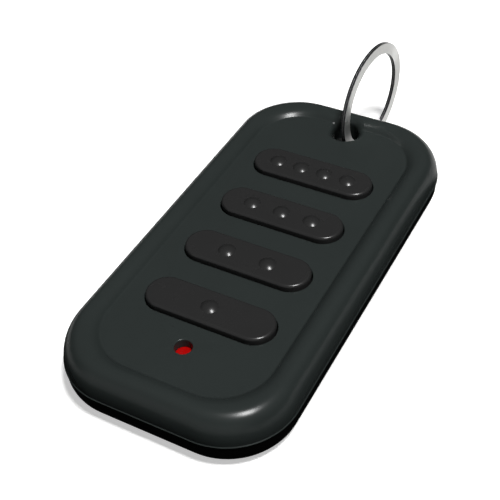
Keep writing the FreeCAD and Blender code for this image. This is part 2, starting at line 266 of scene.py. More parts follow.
def rounded_outline(length, width, corner, height):
    """A rounded rectangle as a closed row of points, anticlockwise seen from above."""
    points = []
    quarters = ((1, -1, -90), (1, 1, 0), (-1, 1, 90), (-1, -1, 180))
    for side_x, side_y, start in quarters:
        x = side_x * (width / 2 - corner)
        y = side_y * (length / 2 - corner)
        for step in range(CORNER_STEPS + 1):
            a = math.radians(start + 90 * step / CORNER_STEPS)
            points.append((x + corner * math.cos(a), y + corner * math.sin(a), height))
    return points


def case_outline(case, inset, height):
    """The case's outline, drawn in by an inset, at one height."""
    corner = case.corner - inset * (case.corner - case.panel_corner) / case.panel_inset
    return rounded_outline(case.length - 2 * inset, case.width - 2 * inset, corner, height)


def stadium_outline(length, width, y, height):
    """An outline with straight sides and half-round ends along X."""
    points = []
    r = width / 2
    for side, start in ((1, -90), (-1, 90)):
        for step in range(END_STEPS + 1):
            a = math.radians(start + 180 * step / END_STEPS)
            points.append((side * (length / 2 - r) + r * math.cos(a), y + r * math.sin(a), height))
    return points


def circle_outline(radius, x, y, height, steps):
    """A circle as a closed row of points."""
    turns = [2 * math.pi * i / steps for i in range(steps)]
    return [(x + radius * math.cos(a), y + radius * math.sin(a), height) for a in turns]


def add_ring(mesh, points):
    """Adds one closed ring of corners."""
    return [mesh.verts.new(p) for p in points]


def bridge(mesh, rings):
    """Joins rings of equal count, one to the next, with bands of faces."""
    for first, second in zip(rings, rings[1:]):
        for i in range(len(first)):
            j = (i + 1) % len(first)
            mesh.faces.new((first[i], first[j], second[j], second[i]))


def fill(mesh, rings):
    """Fills the flat area inside the first ring and outside the others."""
    edges = []
    for ring in rings:
        for i, corner in enumerate(ring):
            pair = (corner, ring[(i + 1) % len(ring)])
            edges.append(mesh.edges.get(pair) or mesh.edges.new(pair))
    bmesh.ops.triangle_fill(mesh, use_beauty=True, use_dissolve=False, edges=edges)


def turned(mesh, profile, x, y, steps):
    """Rings round an upright axis through a row of (radius, height) pairs, joined by bands."""
    rings = [add_ring(mesh, circle_outline(radius, x, y, height, steps)) for radius, height in profile]
    bridge(mesh, rings)
    return rings


def close_tip(mesh, ring, tip):
    """Closes a ring with a fan of faces to one point."""
    top = mesh.verts.new(tip)
    for i in range(len(ring)):
        mesh.faces.new((ring[i], ring[(i + 1) % len(ring)], top))


def arc(start, end, steps):
    """The turns between two angles in degrees, as sines and cosines, the first one left out."""
    turns = [math.radians(start + (end - start) * (i + 1) / steps) for i in range(steps)]
    return [(math.sin(a), math.cos(a)) for a in turns]


def make_piece(mesh, name, material, sharp_angle=34.0):
    """Turns the collected surface into an object with even shading and one material."""
    bmesh.ops.recalc_face_normals(mesh, faces=mesh.faces)
    data = bpy.data.meshes.new(name)
    mesh.to_mesh(data)
    mesh.free()
    for face in data.polygons:
        face.use_smooth = True
    data.set_sharp_from_angle(angle=math.radians(sharp_angle))
    data.materials.append(material)
    piece = bpy.data.objects.new(name, data)
    bpy.context.scene.collection.objects.link(piece)
    even = piece.modifiers.new("Even shading", "WEIGHTED_NORMAL")
    even.keep_sharp = True
    return piece


def place_piece(piece, body, slot, *nodes):
    """Ties a piece to its body and hides the frame nodes that it stands for. Its slot is not used."""
    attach(piece, body)
    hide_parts(*nodes)


# Materials


def add_node(tree, kind, settings=None, values=None, links=None):
    """Adds one node with its settings, its input values and the links into it."""
    node = tree.nodes.new(kind)
    for key, value in (settings or {}).items():
        setattr(node, key, value)
    for key, value in (values or {}).items():
        node.inputs[key].default_value = value
    for key, source in (links or {}).items():
        tree.links.new(source, node.inputs[key])
    return node


def start_material(name, values):
    """A new material with one shader. Its fixed values sit on the shader's own sockets."""
    material = bpy.data.materials.new(name)
    material.use_nodes = True
    tree = material.node_tree
    tree.nodes.clear()
    shader = add_node(tree, "ShaderNodeBsdfPrincipled", values=values)
    add_node(tree, "ShaderNodeOutputMaterial", links={"Surface": shader.outputs["BSDF"]})
    place = add_node(tree, "ShaderNodeTexCoord")
    return material, tree, shader, place.outputs["Object"]


def shade(value, factor):
    """A colour made lighter or darker."""
    return [channel * factor for channel in value[:3]] + [1.0]


def moulded_plastic(name, tint, specular, roughness, grain, depth, patch, spread=0.08):
    """Moulded plastic: spark-eroded grain pressed in by the tool, and slow changes in how satin it looks."""
    material, tree, shader, place = start_material(name, {
        "Specular IOR Level": specular, "Roughness": roughness})
    grain_noise = add_node(tree, "ShaderNodeTexNoise",
                           values={"Scale": 1 / grain, "Detail": 3.0, "Roughness": 0.55},
                           links={"Vector": place})
    patch_noise = add_node(tree, "ShaderNodeTexNoise",
                           values={"Scale": 1 / patch, "Detail": 4.0, "Roughness": 0.6},
                           links={"Vector": place})
    tone = add_node(tree, "ShaderNodeMix", settings={"data_type": "RGBA"},
                    values={"A": shade(tint, 1 - spread), "B": shade(tint, 1 + spread)},
                    links={"Factor": patch_noise.outputs["Fac"]})
    tree.links.new(tone.outputs["Result"], shader.inputs["Base Color"])
    satin = add_node(tree, "ShaderNodeMapRange",
                     values={"From Min": 0.3, "From Max": 0.7, "To Min": roughness * 0.93,
                             "To Max": roughness * 1.07},
                     links={"Value": patch_noise.outputs["Fac"]})
    tree.links.new(satin.outputs["Result"], shader.inputs["Roughness"])
    bump = add_node(tree, "ShaderNodeBump", values={"Strength": 1.0, "Distance": depth},
                    links={"Height": grain_noise.outputs["Fac"]})
    tree.links.new(bump.outputs["Normal"], shader.inputs["Normal"])
    return material


def worked_metal(name, tint, roughness, grain, depth, stretch=(1.0, 1.0, 1.0)):
    """Bare or plated metal: fine drawn or tumbled marks, longer along one way where stretch says so."""
    material, tree, shader, place = start_material(name, {"Metallic": 1.0, "Roughness": roughness})
    turned_place = add_node(tree, "ShaderNodeMapping", values={"Scale": stretch}, links={"Vector": place})
    marks = add_node(tree, "ShaderNodeTexNoise", values={"Scale": 1 / grain, "Detail": 4.0, "Roughness": 0.6},
                     links={"Vector": turned_place.outputs["Vector"]})
    tone = add_node(tree, "ShaderNodeMix", settings={"data_type": "RGBA"},
                    values={"A": shade(tint, 0.92), "B": shade(tint, 1.04)},
                    links={"Factor": marks.outputs["Fac"]})
    tree.links.new(tone.outputs["Result"], shader.inputs["Base Color"])
    dull = add_node(tree, "ShaderNodeMapRange",
                    values={"From Min": 0.3, "From Max": 0.7, "To Min": roughness * 0.8,
                            "To Max": roughness * 1.25},
                    links={"Value": marks.outputs["Fac"]})
    tree.links.new(dull.outputs["Result"], shader.inputs["Roughness"])
    bump = add_node(tree, "ShaderNodeBump", values={"Strength": 0.6, "Distance": depth},
                    links={"Height": marks.outputs["Fac"]})
    tree.links.new(bump.outputs["Normal"], shader.inputs["Normal"])
    return material


def dress(node, material):
    """Gives a frame node its material."""
    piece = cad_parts[node]
    if not piece.material_slots:
        piece.data.materials.append(material)
    for slot in piece.material_slots:
        slot.material = material


# Pieces


def upper_profile(case):
    """The upper shell's outside as (inset, height) pairs, from the parting line over the rim to the panel."""
    line = case.parting - case.skirt
    bead_low = line + mm(0.10)
    bead_high = line + mm(0.19)
    facet = mm(0.10)
    skirt_depth = mm(1.0)
    profile = [(skirt_depth, case.parting), (skirt_depth, line), (case.step, line), (0.0, bead_low),
               (0.0, bead_high), (facet, bead_high + facet)]
    start = bead_high + facet
    for s, c in arc(0, 90, BEAD_STEPS):
        profile.append((facet + (case.crest_inset - facet) * (1 - c), start + (case.rim - start) * s))
    run = case.panel_inset - case.crest_inset
    drop = case.rim - case.panel
    bend = run / math.sin(2 * math.atan(drop / run))
    hollow = case.crease
    reach = math.sqrt((bend + hollow) ** 2 - (case.panel + hollow - case.rim + bend) ** 2)
    sweep = math.degrees(math.asin(reach / (bend + hollow)))
    for s, c in arc(0, sweep, SLOPE_STEPS):
        profile.append((case.crest_inset + bend * s, case.rim - bend * (1 - c)))
    for s, c in arc(sweep, 0, HOLLOW_STEPS):
        profile.append((case.crest_inset + reach - hollow * s, case.panel + hollow * (1 - c)))
    return profile


def slope_height(profile, case, x, y):
    """Height of the upper shell's top over a point near the far end, between the corners."""
    inset = case.length / 2 - y
    rim_foot = case.parting + mm(0.5)
    if inset >= profile[-1][0]:
        return case.panel
    for (inset_a, height_a), (inset_b, height_b) in zip(profile, profile[1:]):
        if height_a > rim_foot and inset_a <= inset <= inset_b:
            return height_a + (height_b - height_a) * (inset - inset_a) / (inset_b - inset_a)
    return profile[0][1]


def cavity_outline(case, height, centre_y, notch):
    """Inner wall of the upper shell, with a round-ended notch left solid round the key hole."""
    far = case.length / 2 - case.wall
    points = rounded_outline(2 * far, case.width - 2 * case.wall, case.corner - case.wall, height)
    middle = 2 * (CORNER_STEPS + 1)
    bay = [(notch, far, height)]
    for step in range(END_STEPS + 1):
        a = math.radians(-180 * step / END_STEPS)
        bay.append((notch * math.cos(a), centre_y + notch * math.sin(a), height))
    bay.append((-notch, far, height))
    return points[:middle] + bay + points[middle:]


def key_hole_cutter(case, profile, centre_y):
    """A closed form that cuts the key hole with its soft lip, which follows the rim's slope."""
    mesh = bmesh.new()
    mouth = case.key_hole + case.key_lip
    foot = case.parting - CUT_BELOW

    def lip(radius, depth):
        points = []
        for x, y, _ in circle_outline(radius, 0.0, centre_y, 0.0, HOLE_STEPS):
            points.append((x, y, slope_height(profile, case, x, y) - depth))
        return add_ring(mesh, points)

    rings = [add_ring(mesh, circle_outline(case.key_hole, 0.0, centre_y, foot, HOLE_STEPS))]
    for s, c in [(1.0, 0.0)] + arc(90, LIP_END, LIP_STEPS):
        widest = mouth - case.key_lip * s
        rings.append(lip(widest, case.key_lip * (1 - c) - CUT_LIFT * (1 - s)))
    rings.append(add_ring(mesh, circle_outline(widest, 0.0, centre_y, case.rim + CUT_ABOVE, HOLE_STEPS)))
    bridge(mesh, rings)
    fill(mesh, rings[:1])
    fill(mesh, rings[-1:])
    bmesh.ops.recalc_face_normals(mesh, faces=mesh.faces)
    data = bpy.data.meshes.new("key_hole_cutter")
    mesh.to_mesh(data)
    mesh.free()
    cutter = bpy.data.objects.new("key_hole_cutter", data)
    bpy.context.scene.collection.objects.link(cutter)
    return cutter


def cut_with(mesh, cutter):
    """Cuts a closed form out of a surface and gives the surface back."""
    data = bpy.data.meshes.new("uncut")
    mesh.to_mesh(data)
    mesh.free()
    piece = bpy.data.objects.new("uncut", data)
    bpy.context.scene.collection.objects.link(piece)
    cut = piece.modifiers.new("Cut", "BOOLEAN")
    cut.operation = "DIFFERENCE"
    cut.solver = "EXACT"
    cut.object = cutter
    bpy.context.view_layer.update()
    ready = piece.evaluated_get(bpy.context.evaluated_depsgraph_get())
    result = bmesh.new()
    result.from_mesh(ready.to_mesh())
    ready.to_mesh_clear()
    for leftover in (piece, cutter):
        shape = leftover.data
        bpy.data.objects.remove(leftover)
        bpy.data.meshes.remove(shape)
    return result


class TRANSMITTER_OT_upper_shell(bpy.types.Operator):
    """Builds the upper shell with its rim, panel, windows, lamp hole and key hole"""

    bl_idname = "transmitter.upper_shell"
    bl_label = "Upper shell"

    def execute(self, context):
        case = context.scene.transmitter_case
        buttons = context.scene.transmitter_buttons
        lamp = context.scene.transmitter_lamp
        under = case.panel - case.roof
        key_y = case.length / 2 - case.key_inset
        notch = case.key_hole + KEY_BOSS_WALL
        profile = upper_profile(case)
        mesh = bmesh.new()
        outside = [add_ring(mesh, case_outline(case, inset, height)) for inset, height in profile]
        bridge(mesh, outside)
        panel_loops = []
        under_loops = []
        for name in BUTTONS:
            low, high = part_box(name)
            y = (low.y + high.y) / 2
            length = buttons.length + 2 * buttons.gap
            width = buttons.width + 2 * buttons.gap
            rings = []
            for s, c in [(0.0, 1.0)] + arc(0, 90, WINDOW_STEPS):
                spread = 2 * (WINDOW_EDGE - WINDOW_EDGE * s)
                height = case.panel - WINDOW_EDGE * (1 - c)
                rings.append(add_ring(mesh, stadium_outline(length + spread, width + spread, y, height)))
            rings.append(add_ring(mesh, stadium_outline(length, width, y, under)))
            bridge(mesh, rings)
            panel_loops.append(rings[0])
            under_loops.append(rings[-1])
        lamp_y = (lamp_low.y + lamp_high.y) / 2
        hole = [(lamp.hole + lamp.hole_edge * (1 - s), case.panel - lamp.hole_edge * (1 - c))
                for s, c in [(0.0, 1.0)] + arc(0, 90, LAMP_HOLE_STEPS)]
        rings = turned(mesh, hole + [(lamp.hole, under)], 0.0, lamp_y, HOLE_STEPS)
        panel_loops.append(rings[0])
        under_loops.append(rings[-1])
        for x, y in SCREW_PLACES:
            boss = [(SCREW_BOSS_RADIUS, under), (SCREW_BOSS_RADIUS, case.parting),
                    (SCREW_HOLE_RADIUS, case.parting), (SCREW_HOLE_RADIUS, case.parting + SCREW_HOLE_DEPTH)]
            rings = turned(mesh, boss, x, y, BOSS_STEPS)
            fill(mesh, rings[-1:])
            under_loops.append(rings[0])
        for x, y in CLAMP_PLACES:
            rings = turned(mesh, [(CLAMP_RADIUS, under), (CLAMP_RADIUS, CLAMP_FOOT)], x, y, CLAMP_STEPS)
            fill(mesh, rings[-1:])
            under_loops.append(rings[0])
        cavity = [add_ring(mesh, cavity_outline(case, height, key_y, notch))
                  for height in (under, case.parting)]
        bridge(mesh, cavity)
        fill(mesh, [outside[-1]] + panel_loops)
        fill(mesh, [cavity[0]] + under_loops)
        fill(mesh, [outside[0], cavity[1]])
        bmesh.ops.recalc_face_normals(mesh, faces=mesh.faces)
        mesh = cut_with(mesh, key_hole_cutter(case, profile, key_y))
        # Moulded ABS, dark grey with a green cast: satin, so lamps show as soft patches, and the grain only
        # as a fine haze
        material = moulded_plastic("Moulded ABS, satin dark grey", case.upper_colour, 0.12, 0.25, mm(0.09),
                                   mm(0.0011), mm(9.0))
        piece = make_piece(mesh, "upper_shell", material)
        place_piece(piece, "case", "case_plastic", "upper_case")
        return {"FINISHED"}


class TRANSMITTER_OT_lower_shell(bpy.types.Operator):
    """Finishes the lower shell"""

    bl_idname = "transmitter.lower_shell"
    bl_label = "Lower shell"

    def execute(self, context):
        case = context.scene.transmitter_case
        # Moulded ABS, plain black: duller than the upper shell, it drinks nearly all light
        material = moulded_plastic("Moulded ABS, dull black", case.lower_colour, 0.05, 0.42, mm(0.12),
                                   mm(0.002), mm(7.0))
        dress("lower_case", material)
        return {"FINISHED"}


class TRANSMITTER_OT_buttons(bpy.types.Operator):
    """Builds the four buttons with their raised dots"""

    bl_idname = "transmitter.buttons"
    bl_label = "Buttons"

    def execute(self, context):
        case = context.scene.transmitter_case
        buttons = context.scene.transmitter_buttons
        # Moulded polypropylene, near black and neutral: a little glossier than the case
        material = moulded_plastic("Moulded polypropylene, near black", buttons.colour, 0.2, 0.27, mm(0.08),
                                   mm(0.0006), mm(6.0), 0.05)
        top = case.panel + buttons.rise
        flange_top = case.panel - case.roof - FLANGE_CLEARANCE
        flange_low = flange_top - FLANGE_THICKNESS
        for number, name in enumerate(BUTTONS):
            low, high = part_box(name)
            y = (low.y + high.y) / 2
            mesh = bmesh.new()

            def outline(inset, height):
                length = buttons.length - 2 * inset
                width = buttons.width - 2 * inset
                return add_ring(mesh, stadium_outline(length, width, y, height))

            inner = [outline(CAP_SKIN, flange_low), outline(CAP_SKIN, top - CAP_SKIN)]
            outer = [outline(-FLANGE_WIDTH, flange_low), outline(-FLANGE_WIDTH, flange_top),
                     outline(0.0, flange_top), outline(0.0, top - buttons.edge)]
            for s, c in arc(90, 0, EDGE_STEPS):
                outer.append(outline(buttons.edge * (1 - s), top - buttons.edge * (1 - c)))
            bridge(mesh, inner)
            bridge(mesh, outer)
            fill(mesh, [outer[0], inner[0]])
            nub = turned(mesh, [(NUB_RADIUS, top - CAP_SKIN), (NUB_RADIUS, flange_low - NUB_DEPTH)], 0.0, y,
                         NUB_STEPS)
            fill(mesh, [inner[1], nub[0]])
            fill(mesh, nub[1:])
            ball = (buttons.dot_radius ** 2 + buttons.dot_rise ** 2) / (2 * buttons.dot_rise)
            half_turn = math.degrees(math.asin(buttons.dot_radius / ball))
            dots = []
            for dot in range(number + 1):
                x = buttons.length * ((dot + 1) / (number + 2) - 0.5)
                centre = top + buttons.dot_rise - ball
                dome = [(ball * s, centre + ball * c)
                        for s, c in arc(half_turn * (1 + 1 / DOME_STEPS), half_turn / DOME_STEPS, DOME_STEPS)]
                rings = turned(mesh, dome, x, y, DOT_STEPS)
                close_tip(mesh, rings[-1], (x, y, top + buttons.dot_rise))
                dots.append(rings[0])
            fill(mesh, [outer[-1]] + dots)
            piece = make_piece(mesh, "button_cap_" + str(number + 1), material)
            place_piece(piece, name, "button_plastic", name)
        return {"FINISHED"}


class TRANSMITTER_OT_lamp(bpy.types.Operator):
    """Builds the lamp's red lens"""

    bl_idname = "transmitter.lamp"
    bl_label = "Lamp"

    def execute(self, context):
        lamp = context.scene.transmitter_lamp
        y = (lamp_low.y + lamp_high.y) / 2
        step_height = lamp_low.z + LAMP_FLANGE_THICKNESS
        mesh = bmesh.new()
        profile = [(LAMP_FLANGE_RADIUS, lamp_low.z), (LAMP_FLANGE_RADIUS, step_height),
                   (lamp.lens, step_height), (lamp.lens, lamp_high.z - LAMP_DOME)]
        for s, c in arc(90, 0, EDGE_STEPS):
            profile.append((lamp.lens - LAMP_DOME * (1 - s), lamp_high.z - LAMP_DOME * (1 - c)))
        rings = turned(mesh, profile, 0.0, y, HOLE_STEPS)
        fill(mesh, rings[:1])
        fill(mesh, rings[-1:])
        # Cast epoxy, tinted red through and through. A faint painted glow stands for the light that it
        # carries sideways, so it looks evenly red
        material, tree, shader, place = start_material("Cast epoxy, clear red", {
            "Roughness": 0.3, "Specular IOR Level": 0.12, "Emission Strength": 0.12})
        haze = add_node(tree, "ShaderNodeTexNoise", values={"Scale": 1 / mm(0.8), "Detail": 2.0},
                        links={"Vector": place})
        tone = add_node(tree, "ShaderNodeMix", settings={"data_type": "RGBA"},
                        values={"A": shade(lamp.colour, 0.9), "B": shade(lamp.colour, 1.1)},
                        links={"Factor": haze.outputs["Fac"]})
        tree.links.new(tone.outputs["Result"], shader.inputs["Base Color"])
        # Painted glow: the lens's red is also given as a faint emission
        tree.links.new(tone.outputs["Result"], shader.inputs["Emission Color"])
        piece = make_piece(mesh, "lamp_lens", material)
        place_piece(piece, "case", "lamp_lens", "status_lamp")
        return {"FINISHED"}


class TRANSMITTER_OT_key_ring(bpy.types.Operator):
    """Builds the key ring: one flat strip wound twice round, crossing over once"""

    bl_idname = "transmitter.key_ring"
    bl_label = "Key ring"

    def execute(self, context):
        ring = context.scene.transmitter_ring
        place = Matrix.Translation((ring_low + ring_high) / 2) @ Matrix.Rotation(RING_YAW, 4, "Z")
        half = (ring.thickness / 2 - RING_HALF_SEAM) / 2
        bore = ring.radius - ring.band
        gap = RING_END_GAP / ring.radius
        first_end = RING_CROSS_START + RING_CROSS_TURN - 2 * math.pi + gap / 2
        last_end = RING_CROSS_START + 2 * math.pi - gap / 2
        mesh = bmesh.new()
        rings = []
        steps = 2 * RING_STEPS
        for i in range(steps + 1):
            turned_by = first_end + (last_end - first_end) * i / steps
            share = min(1.0, max(0.0, (turned_by - RING_CROSS_START) / RING_CROSS_TURN))
            share = share * share * (3 - 2 * share)
            middle = (2 * share - 1) * (half + RING_HALF_SEAM)
            left = ring.edge + (RING_FINE_EDGE - ring.edge) * share
            right = RING_FINE_EDGE + (ring.edge - RING_FINE_EDGE) * share
            section = []
            for side, radius, edge, start in ((-1, bore, left, 180), (1, bore, right, 270),
                                              (1, ring.radius, right, 0), (-1, ring.radius, left, 90)):
                centre_x = middle + side * (half - edge)
                centre_r = radius + edge * (1 if radius == bore else -1)
                for step in range(RING_EDGE_STEPS + 1):
                    a = math.radians(start + 90 / RING_EDGE_STEPS * step)
                    section.append((centre_x + edge * math.cos(a), centre_r + edge * math.sin(a)))
            along = math.cos(turned_by)
            upwards = math.sin(turned_by)
            rings.append(add_ring(mesh, [place @ Vector((x, r * along, r * upwards)) for x, r in section]))
        bridge(mesh, rings)
        for end in (rings[0], rings[-1]):
            mesh.faces.new(end)
        # Spring strip: its flat faces are rolled bright, round the ring, so lights fan out across the band.
        # The edges' dark tone is a painted reflection of the dark room that they mirror
        material, tree, shader, spot = start_material("Spring strip, bright faces and dark edges", {
            "Metallic": 1.0, "Roughness": 0.36, "Anisotropic": 0.8})
        round_ring = add_node(tree, "ShaderNodeTangent", settings={"direction_type": "RADIAL", "axis": "X"})
        tree.links.new(round_ring.outputs["Tangent"], shader.inputs["Tangent"])
        # Painted reflection: where the normal turns away from X, on the edges, the base colour darkens to the
        # edge tone
        facing = add_node(tree, "ShaderNodeSeparateXYZ", links={"Vector": spot.node.outputs["Normal"]})
        sideways = add_node(tree, "ShaderNodeMath", settings={"operation": "ABSOLUTE"},
                            links={0: facing.outputs["X"]})
        face = add_node(tree, "ShaderNodeMapRange", values={"From Min": 0.5, "From Max": 0.9},
                        links={"Value": sideways.outputs["Value"]})
        wear = add_node(tree, "ShaderNodeTexNoise", values={"Scale": 1 / mm(0.9), "Detail": 4.0},
                        links={"Vector": spot})
        bright = add_node(tree, "ShaderNodeMix", settings={"data_type": "RGBA"},
                          values={"A": shade(ring.colour, 0.92), "B": shade(ring.colour, 1.04)},
                          links={"Factor": wear.outputs["Fac"]})
        tone = add_node(tree, "ShaderNodeMix", settings={"data_type": "RGBA"}, values={"A": ring.edge_colour},
                        links={"Factor": face.outputs["Result"], "B": bright.outputs["Result"]})
        tree.links.new(tone.outputs["Result"], shader.inputs["Base Color"])
        piece = make_piece(mesh, "split_ring", material, 50.0)
        place_piece(piece, "key_ring", "ring_steel", "key_ring")
        return {"FINISHED"}


class TRANSMITTER_OT_inner_parts(bpy.types.Operator):
    """Finishes the screws, the board and everything on it"""

    bl_idname = "transmitter.inner_parts"
    bl_label = "Inner parts"

    def execute(self, context):
        # Glass laminate under green solder mask: glossy, with the woven cloth just showing through
        board, tree, shader, place = start_material("Glass laminate, green solder mask", {"Roughness": 0.32})
        cloth = []
        for axis in ("X", "Y"):
            cloth.append(add_node(tree, "ShaderNodeTexWave", settings={"bands_direction": axis},
                                  values={"Scale": WAVE_BAND / mm(0.5), "Distortion": 0.6, "Detail": 1.0},
                                  links={"Vector": place}))
        weave = add_node(tree, "ShaderNodeMath", settings={"operation": "MULTIPLY"},
                         links={0: cloth[0].outputs["Fac"], 1: cloth[1].outputs["Fac"]})
        tone = add_node(tree, "ShaderNodeMix", settings={"data_type": "RGBA"},
                        values={"A": linear("175a33"), "B": linear("2a7a48")},
                        links={"Factor": weave.outputs["Value"]})
        tree.links.new(tone.outputs["Result"], shader.inputs["Base Color"])
        bump = add_node(tree, "ShaderNodeBump", values={"Strength": 0.4, "Distance": mm(0.004)},
                        links={"Height": weave.outputs["Value"]})
        tree.links.new(bump.outputs["Normal"], shader.inputs["Normal"])
        dress("circuit_board", board)

        # Moulded nylon housings: dull charcoal
        housing = moulded_plastic("Moulded nylon, charcoal", linear("303032"), 0.4, 0.5, mm(0.06), mm(0.001),
                                  mm(2.0))
        # Moulded acetal pins: waxy cream
        pin = moulded_plastic("Moulded acetal, cream", linear("cbc8bc"), 0.45, 0.38, mm(0.08), mm(0.0006),
                              mm(1.5))
        for number in range(1, 5):
            dress("switch_body_" + str(number), housing)
            dress("switch_plunger_" + str(number), pin)

        # Moulded resin of the chip and the transistor: matt black, with the tool's even grit
        resin = moulded_plastic("Moulded epoxy resin, black", linear("202022"), 0.4, 0.55, mm(0.05),
                                mm(0.0015), mm(1.0))
        dress("encoder_chip", resin)
        dress("output_transistor", resin)
        # Fired ceramic under a black glaze: hard and shiny
        glazed = moulded_plastic("Glazed ceramic, black", linear("242428"), 0.5, 0.22, mm(0.2), mm(0.0005),
                                 mm(0.8))
        dress("resistors", glazed)
        # Fired ceramic, tan: dull, finely speckled
        fired = moulded_plastic("Fired ceramic, tan", linear("ae8c67"), 0.4, 0.5, mm(0.08), mm(0.0008),
                                mm(0.3), 0.16)
        dress("capacitors", fired)

        # Tinned copper: soft grey, a little uneven where it was dipped
        tinned = worked_metal("Tinned copper, dull", linear("dbdbd9"), 0.34, mm(0.3), mm(0.003))
        for node in ("switch_terminals", "lamp_leads", "chip_pins"):
            dress(node, tinned)
        # Bright nickel on the cell's rolled steel can: faint rolling marks along X
        nickel = worked_metal("Nickel-plated steel, rolled", linear("d9d9d7"), 0.24, mm(0.1), mm(0.0008),
                              (0.08, 1.0, 1.0))
        dress("coin_cell", nickel)
        # Spring strip: rolled marks run across the board
        strip = worked_metal("Spring strip, rolled", linear("cfcdc9"), 0.28, mm(0.08), mm(0.0008),
                             (0.1, 1.0, 1.0))
        dress("battery_strap", strip)
        # Gold over copper: warm, smooth, slightly grained by the copper
        gold = worked_metal("Gold-plated copper", linear("ebcb8a"), 0.22, mm(0.12), mm(0.0006))
        dress("battery_contact", gold)
        dress("aerial", gold)
        # Drawn steel cans: satin, drawn upwards
        can = worked_metal("Drawn steel, satin", linear("d4d4d2"), 0.3, mm(0.07), mm(0.001), (1.0, 1.0, 0.12))
        dress("radio_can", can)
        dress("timing_crystal", can)
        # Zinc-plated steel screws: cold grey, cloudy from barrel plating
        dress("case_screws", worked_metal("Zinc-plated steel", linear("b9bbbd"), 0.36, mm(0.25), mm(0.002)))
        return {"FINISHED"}


class TRANSMITTER_OT_stage(bpy.types.Operator):
    """Lays the floor, hangs the light and sets up the camera"""

    bl_idname = "transmitter.stage"
    bl_label = "Floor, light and camera"

    def execute(self, context):
        stage = context.scene.transmitter_stage
        scene = context.scene
        scene.view_settings.view_transform = "Standard"
        self.lay_floor(stage)
        self.light_world(scene)
        self.hang_lamp(stage, "Soft box", stage.lamp_size, stage.lamp_power, stage.lamp_way)
        gleam = self.hang_lamp(stage, "Gleam", stage.gleam_size, stage.gleam_power, stage.gleam_way)
        # It lights nothing, and shows only as a reflection
        gleam.visible_diffuse = False
        gleam.data.cycles.max_bounces = 1
        self.set_camera(scene, stage)
        return {"FINISHED"}

    def lay_floor(self, stage):
        """A plain pale floor that keeps the case's shadow."""
        mesh = bmesh.new()
        sides = ((-1, -1), (1, -1), (1, 1), (-1, 1))
        mesh.faces.new([mesh.verts.new((x * FLOOR_REACH, y * FLOOR_REACH, -FLOOR_DROP)) for x, y in sides])
        data = bpy.data.meshes.new("floor")
        mesh.to_mesh(data)
        mesh.free()
        floor = bpy.data.objects.new("floor", data)
        bpy.context.scene.collection.objects.link(floor)
        # Matt paper: even and pale. The camera sees it white, with its shadows. Painted shade: it gives
        # little light back, and mirror rays find it dark close round the case, so that the walls stay black,
        # and white far off
        material = bpy.data.materials.new("Matt white paper")
        material.use_nodes = True
        tree = material.node_tree
        tree.nodes.clear()
        place = add_node(tree, "ShaderNodeTexCoord")
        spot = add_node(tree, "ShaderNodeSeparateXYZ", links={"Vector": place.outputs["Object"]})
        across = add_node(tree, "ShaderNodeMath", settings={"operation": "ABSOLUTE"},
                          links={0: spot.outputs["X"]})
        along = add_node(tree, "ShaderNodeMath", settings={"operation": "ADD"}, values={1: DARK_SHIFT},
                         links={0: spot.outputs["Y"]})
        along = add_node(tree, "ShaderNodeMath", settings={"operation": "ABSOLUTE"},
                         links={0: along.outputs["Value"]})
        beside = add_node(tree, "ShaderNodeMapRange",
                          values={"From Min": DARK_SIDES[0], "From Max": DARK_SIDES[1]},
                          links={"Value": across.outputs["Value"]})
        beyond = add_node(tree, "ShaderNodeMapRange",
                          values={"From Min": DARK_ENDS[0], "From Max": DARK_ENDS[1]},
                          links={"Value": along.outputs["Value"]})
        away = add_node(tree, "ShaderNodeMath", settings={"operation": "MAXIMUM"},
                        links={0: beside.outputs["Result"], 1: beyond.outputs["Result"]})
        rays = add_node(tree, "ShaderNodeLightPath")
        mirrored = add_node(tree, "ShaderNodeMath", settings={"operation": "MAXIMUM"},
                            links={0: rays.outputs["Is Glossy Ray"], 1: rays.outputs["Is Transmission Ray"]})
        mirrored = add_node(tree, "ShaderNodeMath", settings={"operation": "MULTIPLY"},
                            links={0: mirrored.outputs["Value"], 1: away.outputs["Value"]})
        seen = add_node(tree, "ShaderNodeMath", settings={"operation": "MAXIMUM"},
                        links={0: rays.outputs["Is Camera Ray"], 1: mirrored.outputs["Value"]})
        # Painted shade: rays other than the camera's, and mirror rays close round the case, find the floor
        # dark
        tone = add_node(tree, "ShaderNodeMix", settings={"data_type": "RGBA"},
                        values={"A": FLOOR_PAINTED_SHADE, "B": stage.floor_colour},
                        links={"Factor": seen.outputs["Value"]})
        paper = add_node(tree, "ShaderNodeBsdfDiffuse", links={"Color": tone.outputs["Result"]})
        distance = add_node(tree, "ShaderNodeVectorMath", settings={"operation": "LENGTH"},
                            links={0: place.outputs["Object"]})
        far = add_node(tree, "ShaderNodeMapRange",
                       values={"From Min": WHITE_REACH[0], "From Max": WHITE_REACH[1], "To Max": WHITE_GLOW},
                       links={"Value": distance.outputs["Value"]})
        far = add_node(tree, "ShaderNodeMath", settings={"operation": "MULTIPLY"},
                       links={0: far.outputs["Result"], 1: seen.outputs["Value"]})
        lift = add_node(tree, "ShaderNodeMath", settings={"operation": "MULTIPLY_ADD"},
                        values={1: WHITE_GLOW},
                        links={0: rays.outputs["Is Camera Ray"], 2: far.outputs["Value"]})
        glow = add_node(tree, "ShaderNodeEmission", links={"Strength": lift.outputs["Value"]})
        both = add_node(tree, "ShaderNodeAddShader",
                        links={0: paper.outputs["BSDF"], 1: glow.outputs["Emission"]})
        add_node(tree, "ShaderNodeOutputMaterial", links={"Surface": both.outputs["Shader"]})
        data.materials.append(material)

    def light_world(self, scene):
        """White to the camera, a dim room to mirror rays."""
        world = bpy.data.worlds.new("Studio")
        scene.world = world
        world.use_nodes = True
        tree = world.node_tree
        tree.nodes.clear()
        place = add_node(tree, "ShaderNodeTexCoord")
        way = add_node(tree, "ShaderNodeSeparateXYZ", links={"Vector": place.outputs["Generated"]})
